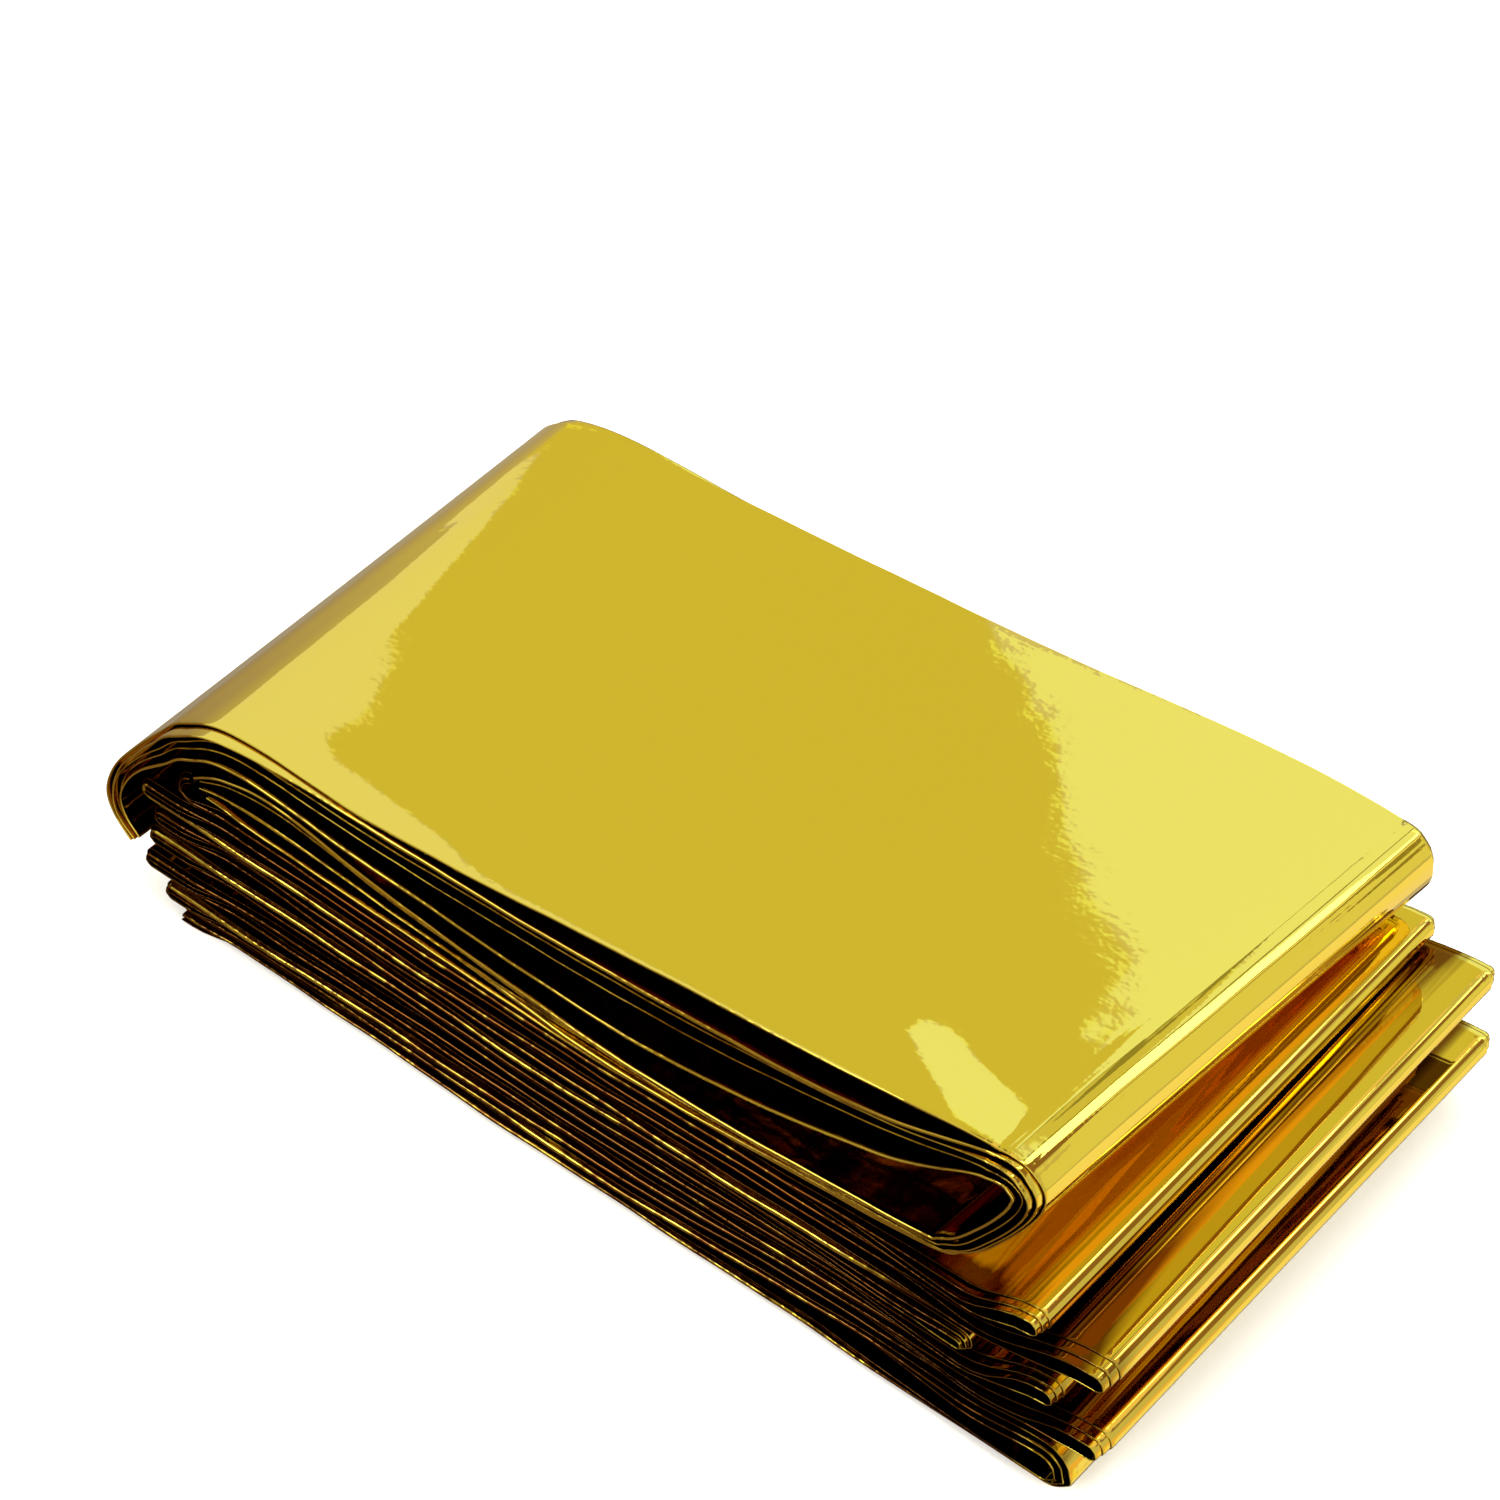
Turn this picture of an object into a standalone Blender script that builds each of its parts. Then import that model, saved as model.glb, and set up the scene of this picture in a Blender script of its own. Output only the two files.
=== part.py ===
"""Emergency foil blanket, folded to its packet and sprung open on a flat surface.

One sheet of metallised film is folded lengthwise into a strip, and the strip is
laid back and forth in fourteen runs. The solid is that strip as one body: a
single back-and-forth section, swept across the packet's width, with the loose
top run bridging a hollow and the free end lapped round the left side. The top
run's film has parted: its inner part hangs below its outer part at the near side.

Units in the tables are millimetres. +X runs along the packet to its open right
folds, -Y is the near side, +Z is up, and the origin is at the middle of the base.
"""

import math

import bmesh
import bpy
from mathutils import Vector

MM = 0.001

# ---------------------------------------------------------------- driving sizes
STRIP_WIDTH = 78.0          # width of the folded strip, across the packet
UPPER_THICKNESS = 3.0       # loose bundle of film in the top runs
LAP_THICKNESS = 2.2         # free end lapped round the left side
LOWER_THICKNESS = 1.3       # pressed bundle of film in the runs below
OUTER_SHEET = 1.3           # outer part of the top run's bundle, where it has parted
INNER_SHEET = 1.4           # inner part of it
SAG_SHARE = 0.6             # share of the width, from the near edge, that the inner part sags
CROWN = 0.7                 # rise of the top run between its near and far edges
CROWN_FOOT = 24.0           # height on the left bend where that rise starts
CROWN_CLIMB = 14.0          # height over which it reaches its full amount
STATIONS = 8                # sections across the width
RUN_STEP = 9.5              # length of a facet along a run
FOLD_LEAD = 1.2             # short facet of a run just before its right fold
FOLD_FACETS = 6             # facets round a fold
SHOULDER_X = 56.0           # where a lower run starts to lift towards its right fold
LEFT_X = -60.0              # where the tables give the left height of a lower run

# Upper part of the section, from the free end on the left side to the left end
# of the second run: centre line at the near edge and at the far edge, thickness,
# and how far the inner part of the bundle hangs at the near edge.
UPPER_LINE = (
    # place,            near x, near z,  far x, far z, thickness, sag
    ("lap, free end",    -71.0,    9.6,  -71.4,   9.8, LAP_THICKNESS, 0.0),
    ("lap, low",         -73.3,   12.6,  -73.4,  12.8, LAP_THICKNESS, 0.0),
    ("lap, outermost",   -73.6,   16.4,  -73.8,  16.8, LAP_THICKNESS, 0.0),
    ("lap, high",        -71.8,   20.8,  -73.1,  20.8, LAP_THICKNESS, 0.0),
    ("left bend, low",   -68.3,   24.9,  -71.4,  24.6, 2.6, 0.0),
    ("left bend, mid",   -64.2,   29.0,  -68.4,  27.7, UPPER_THICKNESS, 0.0),
    ("left bend, high",  -59.8,   33.0,  -64.2,  29.9, UPPER_THICKNESS, 0.4),
    ("top run, start",   -50.0,   37.1,  -54.5,  31.1, UPPER_THICKNESS, 1.4),
    ("top run, dip",     -27.0,   38.4,  -28.0,  31.0, UPPER_THICKNESS, 4.5),
    ("top run, middle",    8.0,   42.6,    6.0,  32.4, UPPER_THICKNESS, 10.5),
    ("top run, rise",     42.0,   46.1,   40.0,  35.3, UPPER_THICKNESS, 8.1),
    ("big fold, top",     58.0,   46.4,   58.5,  36.4, UPPER_THICKNESS, 0.5),
    ("big fold, lip",     62.3,   44.9,   62.8,  35.1, UPPER_THICKNESS, 0.0),
    ("big fold, nose",    62.6,   41.6,   63.8,  32.2, UPPER_THICKNESS, 0.0),
    ("big fold, wall",    59.0,   35.0,   62.8,  29.6, UPPER_THICKNESS, 0.0),
    ("big fold, foot",    54.4,   29.4,   59.4,  27.4, UPPER_THICKNESS, 0.0),
    ("second run, end",   47.0,   26.9,   50.0,  26.1, UPPER_THICKNESS, 0.0),
    ("second run, dip",    9.0,   24.5,    8.0,  24.6, UPPER_THICKNESS, 0.0),
    ("second run, rise", -24.0,   26.9,  -25.0,  24.8, UPPER_THICKNESS, 0.0),
    ("second run, arch", -43.0,   30.3,  -44.0,  25.4, 2.6, 0.0),
    ("second run, fall", -52.0,   29.6,  -54.0,  26.2, 2.2, 0.0),
    ("second run, left", -57.5,   26.9,  -60.0,  26.4, 1.8, 0.0),
)

# Stretch of the line where the bundle has parted.
PARTED_FROM = "left bend, high"
PARTED_TO = "big fold, top"

# Lower runs from top to bottom: height of the centre line above the surface at
# the left end, in the middle and at the right shoulder.
LOWER_RUNS = (
    # run,    left, middle, right
    ("run 3", 22.9, 21.7, 23.2),
    ("run 4", 21.1, 19.8, 21.4),
    ("run 5", 19.3, 17.9, 19.6),
    ("run 6", 17.4, 16.0, 17.8),
    ("run 7", 15.4, 14.1, 16.0),
    ("run 8", 13.3, 12.2, 14.2),
    ("run 9", 11.2, 10.3, 12.4),
    ("run 10", 8.2, 8.4, 10.7),
    ("run 11", 6.3, 6.5, 8.7),
    ("run 12", 4.4, 4.6, 6.9),
    ("run 13", 2.5, 2.65, 5.2),
    ("run 14", 0.65, 0.65, 0.65),
)

# Right folds: how far each reaches, and how far it lifts beyond the shoulder.
RIGHT_FOLDS = (
    # upper run, near reach, far reach, near lift, far lift
    ("run 3", 66.5, 66.5, 3.0, 1.3),
    ("run 5", 75.0, 75.0, 4.3, 2.2),
    ("run 7", 57.5, 57.5, 0.0, 0.0),
    ("run 9", 69.0, 67.0, 4.0, 2.6),
    ("run 11", 75.0, 76.0, 3.4, 2.6),
    ("run 13", 71.5, 72.0, 1.6, 1.2),
)

# Left folds between the lower runs. The first joins the second run to run 3.
LEFT_FOLDS = (
    # upper run, near reach, far reach
    ("run 2", -61.5, -64.0),
    ("run 4", -68.5, -69.5),
    ("run 6", -67.0, -69.0),
    ("run 8", -68.5, -70.0),
    ("run 10", -70.0, -70.5),
    ("run 12", -67.0, -68.0),
)

LAST_RUN_END = -64.0        # free end of the bottom run


# --------------------------------------------------------------------- helpers
def blend(near, far, share):
    """Value between the near and the far edge."""
    return near + (far - near) * share


def ease(t):
    """Smooth step from 0 to 1."""
    t = min(max(t, 0.0), 1.0)
    return t * t * (3.0 - 2.0 * t)


def spline_point(p0, p1, p2, p3, t):
    """Catmull-Rom point between p1 and p2, for tuples of any length."""
    return tuple(
        0.5 * (2.0 * b + (c - a) * t + (2.0 * a - 5.0 * b + 4.0 * c - d) * t * t
               + (3.0 * b - a - 3.0 * c + d) * t ** 3)
        for a, b, c, d in zip(p0, p1, p2, p3)
    )


# --------------------------------------------------------------- centre line
def upper_rows(share):
    """Table rows of the upper line at a station: x, z, thickness and sag."""
    crown = CROWN * math.sin(math.pi * share)
    hang = 1.0 - ease(share / SAG_SHARE)
    rows = []
    for _, near_x, near_z, far_x, far_z, thickness, sag in UPPER_LINE:
        lifted = crown * ease((near_z - CROWN_FOOT) / CROWN_CLIMB)
        rows.append((blend(near_x, far_x, share), blend(near_z, far_z, share) + lifted,
                     thickness, sag * hang))
    return rows


def upper_line(share):
    """Centre line of the lap, the top run, the big fold and the second run."""
    rows = upper_rows(share)
    line = []
    for i in range(len(rows) - 1):
        before = rows[max(i - 1, 0)]
        after = rows[min(i + 2, len(rows) - 1)]
        count = facet_count(i)
        for k in range(count):
            line.append(spline_point(before, rows[i], rows[i + 1], after, k / count))
    line.append(rows[-1])
    return line


def facet_count(i):
    """Facets between row i of the upper line and the next one."""
    near, after = UPPER_LINE[i][1:3], UPPER_LINE[i + 1][1:3]
    return max(2, round(math.dist(near, after) / RUN_STEP) + 1)


def parted_range():
    """First and last point of the upper line where the bundle has parted."""
    places = [row[0] for row in UPPER_LINE]
    counts = [facet_count(i) for i in range(len(UPPER_LINE) - 1)]
    return sum(counts[:places.index(PARTED_FROM)]), sum(counts[:places.index(PARTED_TO)])


def run_height(row, x, lift, nose_x):
    """Height of a lower run's centre line at x."""
    _, left, middle, right = row
    if x <= 0.0:
        return blend(middle, left, ease(x / LEFT_X))
    height = blend(middle, right, ease(x / SHOULDER_X))
    if lift and x > SHOULDER_X:
        height += lift * ease((x - SHOULDER_X) / (nose_x - SHOULDER_X))
    return height


def half_turn(x, top_z, low_z, side):
    """Centre line round a fold, from its upper run to its lower one."""
    radius = (top_z - low_z) / 2
    points = []
    for k in range(1, FOLD_FACETS):
        angle = math.pi * (0.5 - k / FOLD_FACETS)
        points.append((x + side * radius * math.cos(angle),
                       low_z + radius * (1.0 + math.sin(angle)),
                       LOWER_THICKNESS, 0.0))
    return points


def run_points(row, x_from, x_to, lift, nose_x):
    """Points of a lower run's centre line between two folds."""
    count = round(abs(x_to - x_from) / RUN_STEP)
    places = [blend(x_from, x_to, k / count) for k in range(count + 1)]
    places = sorted(places + [nose_x - FOLD_LEAD], reverse=x_to < x_from)
    return [(x, run_height(row, x, lift, nose_x), LOWER_THICKNESS, 0.0) for x in places]


def left_fold(index, share, top_z, low_z):
    """Centre of a left fold: its outermost point less half its own height."""
    _, near_x, far_x = LEFT_FOLDS[index]
    return blend(near_x, far_x, share) + (LOWER_THICKNESS + top_z - low_z) / 2


def lower_line(share, left_z):
    """Centre line of the runs below the second one, two runs and two folds at a time."""
    line = []
    pairs = len(LOWER_RUNS) // 2
    for i in range(pairs):
        over, under = LOWER_RUNS[2 * i], LOWER_RUNS[2 * i + 1]
        is_last = i == pairs - 1
        _, near_x, far_x, near_lift, far_lift = RIGHT_FOLDS[i]
        lift = blend(near_lift, far_lift, share)
        under_lift = 0.0 if is_last else lift
        height = over[3] + lift - under[3] - under_lift
        nose_x = blend(near_x, far_x, share) - (LOWER_THICKNESS + height) / 2
        start_x = left_fold(i, share, left_z, over[1])
        if is_last:
            end_x = LAST_RUN_END
        else:
            end_x = left_fold(i + 1, share, under[1], LOWER_RUNS[2 * i + 2][1])
        line += half_turn(start_x, left_z, over[1], -1.0)
        line += run_points(over, start_x, nose_x, lift, nose_x)
        line += half_turn(nose_x, over[3] + lift, under[3] + under_lift, 1.0)
        line += run_points(under, nose_x, end_x, under_lift, nose_x)
        left_z = under[1]
    return line


def centre_line(share):
    """Whole centre line of the strip at a station across the width."""
    upper = upper_line(share)
    return upper + lower_line(share, upper[-1][1])


# ------------------------------------------------------------------ the solid
def section_points(line):
    """Outer face, inner face, and the two faces of the parting, point by point."""
    outer, inner, over, under = [], [], [], []
    for i, (x, z, thickness, sag) in enumerate(line):
        before = line[max(i - 1, 0)]
        after = line[min(i + 1, len(line) - 1)]
        run = Vector((after[0] - before[0], after[1] - before[1])).normalized()
        normal = Vector((-run.y, run.x))
        place = Vector((x, z))
        outer.append(place + normal * thickness / 2)
        over.append(outer[-1] - normal * OUTER_SHEET)
        inner.append(place - normal * (thickness / 2 + sag))
        under.append(inner[-1] + normal * INNER_SHEET)
    return outer, inner, over, under


def section(share):
    """Closed outline of the strip at a station, and outline of its parting."""
    outer, inner, over, under = section_points(centre_line(share))
    first, last = parted_range()
    parting = over[first:last + 1] + under[first:last + 1][::-1]
    return outer + inner[::-1], parting


def stations():
    """Place across the width, outline and parting of each section, centred on the base."""
    shares = [k / (STATIONS - 1) for k in range(STATIONS)]
    sections = [section(share) for share in shares]
    reach = [point.x for outline, _ in sections for point in outline]
    middle = Vector(((min(reach) + max(reach)) / 2, 0.0))
    return [((share - 0.5) * STRIP_WIDTH, [point - middle for point in outline],
             [point - middle for point in parting])
            for share, (outline, parting) in zip(shares, sections)]


def ring_of(mesh_data, y, outline):
    """Vertices of an outline at a place across the width."""
    return [mesh_data.verts.new((point.x * MM, y * MM, point.y * MM)) for point in outline]


def wall(mesh_data, rings):
    """Faces from ring to ring across the width."""
    for near, far in zip(rings, rings[1:]):
        for i in range(len(near)):
            j = (i + 1) % len(near)
            mesh_data.faces.new((near[i], near[j], far[j], far[i]))


def side_face(mesh_data, ring, parting):
    """Flat side of the strip: the bundle's cut, with the parting left open."""
    first, last = parted_range()
    for i in range(len(ring) // 2 - 1):
        a, b = ring[i], ring[i + 1]
        c, d = ring[-2 - i], ring[-1 - i]
        if first <= i < last:
            k = i - first
            mesh_data.faces.new((a, b, parting[k + 1], parting[k]))
            mesh_data.faces.new((parting[-1 - k], parting[-2 - k], c, d))
        elif i == first - 1:
            mesh_data.faces.new((a, b, parting[0], parting[-1], c, d))
        elif i == last:
            k = last - first
            mesh_data.faces.new((a, b, c, d, parting[-1 - k], parting[k]))
        else:
            mesh_data.faces.new((a, b, c, d))


def strip_mesh(name):
    """Sweep the section across the width as one closed mesh."""
    mesh_data = bmesh.new()
    rings = []
    partings = []
    for y, outline, parting in stations():
        rings.append(ring_of(mesh_data, y, outline))
        partings.append(ring_of(mesh_data, y, parting))
    wall(mesh_data, rings)
    wall(mesh_data, partings)
    for end in (0, -1):
        side_face(mesh_data, rings[end], partings[end])
    bmesh.ops.recalc_face_normals(mesh_data, faces=mesh_data.faces)
    mesh = bpy.data.meshes.new(name)
    mesh_data.to_mesh(mesh)
    mesh_data.free()
    return mesh


def gold_film():
    """Metallised polyester film, gold on both faces."""
    material = bpy.data.materials.new("gold_metallised_film")
    material.use_nodes = True
    shader = material.node_tree.nodes["Principled BSDF"]
    shader.inputs["Base Color"].default_value = (0.72, 0.47, 0.04, 1.0)
    shader.inputs["Metallic"].default_value = 1.0
    shader.inputs["Roughness"].default_value = 0.15
    return material


def foil_blanket():
    """The folded blanket as one object."""
    mesh = strip_mesh("foil_blanket")
    mesh.shade_smooth()
    mesh.set_sharp_from_angle(angle=math.radians(40.0))
    mesh.materials.append(gold_film())
    blanket = bpy.data.objects.new("foil_blanket", mesh)
    bpy.context.scene.collection.objects.link(blanket)
    return blanket


def main():
    for item in list(bpy.data.objects):
        bpy.data.objects.remove(item, do_unlink=True)
    foil_blanket()


main()
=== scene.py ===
"""Emergency foil blanket: the gold film of the folded packet, its stage and its camera.

The packet is one strip of metallised film laid back and forth in fourteen runs. Each
run is a bundle of film layers, folded lengthwise, so its near side shows the ridges
of those folds. The tables give the strip's centre line in millimetres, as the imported
model has it, and the film is swept along it.

Laid out as a Blender add-on, and run as a script.
"""

import math

import bpy
import numpy as np
from bpy.props import FloatProperty, PointerProperty, StringProperty
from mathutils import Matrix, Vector

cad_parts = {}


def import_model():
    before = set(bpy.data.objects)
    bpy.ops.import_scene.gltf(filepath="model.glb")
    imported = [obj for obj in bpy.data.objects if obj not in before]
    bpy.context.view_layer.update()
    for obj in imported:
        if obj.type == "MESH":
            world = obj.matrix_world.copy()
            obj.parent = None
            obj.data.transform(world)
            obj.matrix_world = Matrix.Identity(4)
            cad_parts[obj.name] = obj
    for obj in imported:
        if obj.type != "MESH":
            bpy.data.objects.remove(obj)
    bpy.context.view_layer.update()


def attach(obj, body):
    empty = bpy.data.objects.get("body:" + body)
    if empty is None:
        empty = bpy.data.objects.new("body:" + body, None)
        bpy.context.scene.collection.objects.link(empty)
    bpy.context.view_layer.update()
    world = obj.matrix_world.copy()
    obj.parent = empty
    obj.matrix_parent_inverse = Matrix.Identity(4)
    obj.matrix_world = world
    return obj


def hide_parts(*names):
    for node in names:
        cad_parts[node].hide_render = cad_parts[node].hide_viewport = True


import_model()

bl_info = {
    "name": "Emergency foil blanket",
    "version": (1, 0, 0),
    "blender": (4, 5, 0),
    "location": "3D View > Sidebar > Foil blanket",
    "description": "Builds the folded gold film of an emergency blanket on its packed model",
    "category": "Object",
}

NODE = "foil_blanket"
BODY = "root"
MM = 0.001

# ------------------------------------------------------------ sizes, millimetres
STRIP_WIDTH = 78.0          # width of the folded strip
LOWER_THICKNESS = 1.3       # bundle of film in a pressed run
CROWN = 0.7                 # rise of the top run between its near and far edges
SHOULDER_X = 56.0           # where a lower run starts to lift towards its right fold
LEFT_X = -60.0              # where the tables give the left height of a lower run
LAST_RUN_END = -64.0        # free end of the bottom run
CROWN_FOOT = 24.0           # height where the crown starts on the left bend
CROWN_CLIMB = 14.0          # and what it takes to reach its full rise
NOSE_POINTS = 26            # points round a lower fold
NOSE_FACETS = (84.0, 62.0, 38.0, 12.0, -50.0)  # degrees that its flat facets face
FACET_SPAN = 70.0           # degrees to each side of that where a facet can lie
FINE_ROWS = ("big fold, top", "big fold, lip")  # where the upper strip turns round the big fold
FINE_STEP = 0.14            # length of a facet there
LEAST_FACETS = 8            # between two rows of the upper strip's table
RUN_OVERHANG = 14.0         # what a lower run has beyond LEFT_X and SHOULDER_X together
FILL = 0.92                 # share of a bundle's thickness between its outer layers
SPREAD = 46.0               # width over which the near ridges spread to even layers
FAR_SHARE = 0.8             # of a near ridge's set-back that the film's far edge has
CRINKLE_WIDTH = 0.8         # how far in the film's edges are crinkled
SHADE_WIDTH = 2.5           # and how far in the shade of its ridges goes
CENTRE_SHIFT = 0.55         # the tables' x that is the middle of the base

# Slow waves along the film: the seed of each one's phase, and its length.
WAVES = {
    "upper set-back": (1.0, 47.0),
    "crease place": (2.0, 61.0),
    "lower depth": (3.0, 97.0),
    "crease depth": (5.0, 83.0),
    "lower set-back": (7.0, 71.0),
    "lower shade": (17.0, 59.0),
}
WAVE_PARTS = ((0.55, 1.0), (0.3, 0.43), (0.15, 0.19))  # share and stretch of a wave's parts
WAVE_SCATTER = (12.9898, 78.233, 43758.5453)  # makes a phase of a seed and a part's number

# Upper part of the strip, from the free end lapped round the left side to the left
# end of the second run. Near and far centre line, thickness of the bundle, and for
# the five near ridges A to E, outermost first, how deep each lies under the outer
# face and how far it is set back from the near edge.
UPPER_LINE = (
    # place,           near x, near z, far x, far z, thick,
    #                  depth A to E,                  set back A to E
    ("lap, free end",    -71.0,   9.6, -71.4,  9.8, 2.2,
     (0.0, 0.5, 1.0, 1.5, 2.0), (0.3, 0.8, 0.2, 0.9, 0.4)),
    ("lap, low",         -73.3,  12.6, -73.4, 12.8, 2.2,
     (0.0, 0.5, 1.0, 1.5, 2.1), (0.2, 0.6, 0.1, 0.8, 0.3)),
    ("lap, outermost",   -73.6,  16.4, -73.8, 16.8, 2.2,
     (0.0, 0.6, 1.2, 1.7, 2.2), (0.0, 0.4, 0.0, 0.9, 0.2)),
    ("lap, high",        -71.8,  20.8, -73.1, 20.8, 2.2,
     (0.0, 0.6, 1.2, 1.8, 2.4), (0.3, 0.6, 0.0, 0.8, 0.2)),
    ("left bend, low",   -68.3,  24.9, -71.4, 24.6, 2.6,
     (0.0, 0.6, 1.2, 1.8, 2.5), (1.0, 0.3, 0.6, 0.5, 0.1)),
    ("left bend, mid",   -64.2,  29.0, -68.4, 27.7, 3.0,
     (0.0, 0.5, 1.5, 2.2, 3.2), (1.7, 0.1, 0.6, 0.4, 0.0)),
    ("left bend, high",  -59.8,  33.0, -64.2, 29.9, 3.0,
     (0.0, 0.5, 1.7, 2.5, 3.7), (2.1, 0.1, 0.8, 0.6, 0.0)),
    ("top run, start",   -50.0,  37.1, -54.5, 31.1, 3.0,
     (0.0, 0.5, 1.9, 3.1, 4.5), (1.7, 0.0, 1.1, 0.8, 0.0)),
    ("top run, dip",     -27.0,  38.4, -28.0, 31.0, 3.0,
     (0.0, 0.9, 3.4, 5.4, 7.6), (0.3, 0.1, 1.0, 1.2, 0.2)),
    ("top run, middle",    8.0,  42.6,   6.0, 32.4, 3.0,
     (0.0, 5.0, 7.0, 10.0, 13.6), (0.0, 0.8, 1.6, 2.2, 0.6)),
    ("top run, rise",     42.0,  46.1,  40.0, 35.3, 3.0,
     (0.0, 4.9, 6.6, 8.8, 11.2), (0.0, 0.6, 1.4, 2.2, 0.6)),
    ("big fold, top",     58.0,  46.4,  58.5, 36.4, 3.0,
     (0.0, 0.7, 1.5, 2.5, 3.6), (1.5, 1.0, 0.4, 0.3, 0.0)),
    ("big fold, lip",     62.3,  44.9,  62.8, 35.1, 3.0,
     (0.0, 0.35, 0.8, 1.7, 2.5), (2.0, 1.0, 0.2, 0.5, 0.0)),
    ("big fold, nose",    62.6,  41.6,  63.8, 32.2, 3.0,
     (0.0, 0.35, 0.8, 1.7, 2.5), (2.0, 1.0, 0.2, 0.5, 0.0)),
    ("big fold, wall",    59.0,  35.0,  62.8, 29.6, 3.0,
     (0.0, 0.4, 0.9, 1.8, 2.6), (1.8, 1.0, 0.3, 0.4, 0.0)),
    ("big fold, foot",    54.4,  29.4,  59.4, 27.4, 3.0,
     (0.0, 0.5, 1.1, 2.0, 2.8), (1.6, 1.0, 0.4, 0.3, 0.0)),
    ("second run, end",   47.0,  26.9,  50.0, 26.1, 3.0,
     (0.0, 0.8, 1.6, 2.5, 3.2), (1.4, 1.0, 0.6, 0.3, 0.0)),
    ("second run, dip",    9.0,  24.5,   8.0, 24.6, 3.0,
     (0.0, 0.8, 1.6, 2.4, 3.1), (0.6, 0.2, 0.9, 0.3, 0.0)),
    ("second run, rise", -24.0,  26.9, -25.0, 24.8, 3.0,
     (-1.6, -0.2, 1.0, 2.1, 3.2), (0.4, 1.0, 0.2, 0.8, 0.2)),
    ("second run, arch", -43.0,  30.3, -44.0, 25.4, 2.6,
     (-4.6, -2.8, -1.0, 0.9, 2.7), (0.6, 1.2, 0.2, 1.0, 0.2)),
    ("second run, fall", -52.0,  29.6, -54.0, 26.2, 2.2,
     (-3.9, -2.4, -0.9, 0.7, 2.2), (0.6, 1.2, 0.4, 1.0, 0.3)),
    ("second run, left", -57.5,  26.9, -60.0, 26.4, 1.8,
     (-1.2, -0.4, 0.4, 1.1, 1.8), (0.8, 1.2, 0.6, 1.0, 0.5)),
)

# Lower runs from top to bottom: height of the centre line at the left end, in the
# middle and at the right shoulder.
LOWER_RUNS = (
    # run,    left, middle, right
    ("run 3", 22.9, 21.7, 23.2),
    ("run 4", 21.1, 19.8, 21.4),
    ("run 5", 19.3, 17.9, 19.6),
    ("run 6", 17.4, 16.0, 17.8),
    ("run 7", 15.4, 14.1, 16.0),
    ("run 8", 13.3, 12.2, 14.2),
    ("run 9", 11.2, 10.3, 12.4),
    ("run 10", 8.2, 8.4, 10.7),
    ("run 11", 6.3, 6.5, 8.7),
    ("run 12", 4.4, 4.6, 6.9),
    ("run 13", 2.5, 2.65, 5.2),
    ("run 14", 0.65, 0.65, 0.65),
)

# Right folds: how far each reaches, and how far it lifts beyond the shoulder. Then how
# deep its film is at the near end, how long the hollow inside it is there, how far its
# layers slide out of each other, and how far its top is in shade.
FOLD_COLUMNS = ("upper run", "near reach", "far reach", "near lift", "far lift", "film",
                "hollow", "slide", "shade")
RIGHT_FOLDS = (
    ("run 3", 66.5, 66.5, 3.0, 1.3, 0.55, 10.0, 0.7, 0.15),
    ("run 5", 75.0, 75.0, 4.3, 2.2, 0.45, 14.0, 1.0, 0.65),
    ("run 7", 57.5, 57.5, 0.0, 0.0, 0.9, 5.0, 0.4, 0.5),
    ("run 9", 69.0, 67.0, 4.0, 2.6, 0.5, 8.0, 0.7, 0.5),
    ("run 11", 75.0, 76.0, 3.4, 2.6, 0.45, 9.0, 0.9, 0.9),
    ("run 13", 71.5, 72.0, 1.6, 1.2, 1.8, 30.0, 0.3, 0.0),
)

# Left folds between the lower runs. The first joins the second run to run 3.
LEFT_FOLDS = (
    # upper run, near reach, far reach
    ("run 2", -61.5, -64.0),
    ("run 4", -68.5, -69.5),
    ("run 6", -67.0, -69.0),
    ("run 8", -68.5, -70.0),
    ("run 10", -70.0, -70.5),
    ("run 12", -67.0, -68.0),
)

# Soft forms of the top run's film. Each rises on the left of its direction and falls
# on the right, or the other way round where its rise is negative.
TOP_FORMS = (
    # form, x, y, direction in degrees, half length, half width, rise
    ("roll of the near edge at the left", -34.0, -40.0, 0.0, 18.0, 5.0, 0.16),
    ("dent near the big fold", 49.0, -31.5, -28.0, 12.0, 5.5, -0.26),
    ("small dent by the crease", 54.5, -18.5, -50.0, 5.0, 2.4, -0.09),
    ("hook at the far side", 20.5, 31.0, -8.0, 4.5, 1.5, 0.05),
)
FORMS_FOOT = 28.0           # height of the strip where they start
FORMS_CLIMB = 2.0           # and how much higher they are whole
FORMS_END = 4.0             # how far before the lip of the big fold they end

# Fine creases pressed into the big fold along its length.
LIP_CREASES = (
    # place past the lip, half width, depth
    (-4.5, 0.22, 0.030),
    (-3.2, 0.20, -0.026),
    (-1.5, 0.16, 0.028),
    (-0.8, 0.14, 0.024),
    (0.5, 0.18, 0.030),
    (1.7, 0.16, -0.026),
    (2.6, 0.20, 0.030),
)
CREASE_DRIFT = 0.25         # how far their places wander
CREASE_CHANGE = 0.5         # share of their depth that comes and goes

# Near ridges of the upper strip, outermost first: height, radius of the tip, and how far
# it is in shade.
UPPER_RIDGE_TABLE = (
    (0.42, 0.20, 0.0),
    (0.80, 0.42, 0.0),
    (0.30, 0.14, 0.45),
    (0.28, 0.14, 0.5),
    (0.55, 0.30, 0.0),
)
UPPER_RIDGES = len(UPPER_RIDGE_TABLE)
UPPER_WANDER = 0.12         # how far their set-backs wander
RIDGE_SHARE = 0.7           # of the distance to the next ridge that a ridge's height can take

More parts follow.
